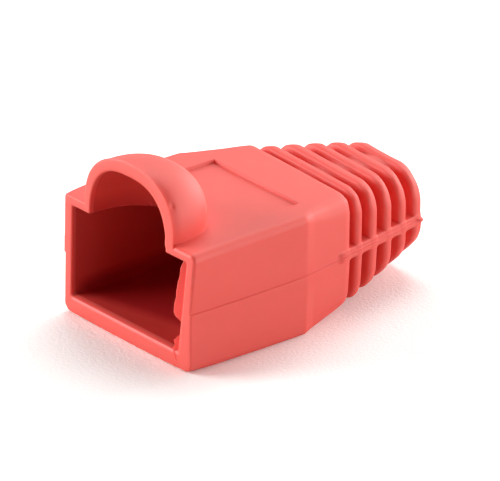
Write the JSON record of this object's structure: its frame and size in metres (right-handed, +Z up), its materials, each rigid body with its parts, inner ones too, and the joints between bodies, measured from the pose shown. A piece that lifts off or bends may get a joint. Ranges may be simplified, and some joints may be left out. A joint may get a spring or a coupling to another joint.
{
  "type": "rj45 strain relief boot",
  "caption": "Soft one-piece strain relief boot for a modular plug: box mouth with a domed latch hood, tapering to a grooved tail that grips the cable.",
  "frame": {"origin": "on the flat underside, under the middle of the overall box", "axes": "+X across the mouth, to the right as one looks along +Y; +Y from the open mouth to the cable end, along the cable; +Z up, towards the latch hood"},
  "size_m": [0.0142, 0.0246, 0.014],
  "materials": {
    "soft_pvc": "matte coral-red flexible PVC, as moulded"
  },
  "bodies": {
    "root": {"boot": "soft_pvc"}
  },
  "joints": []
}
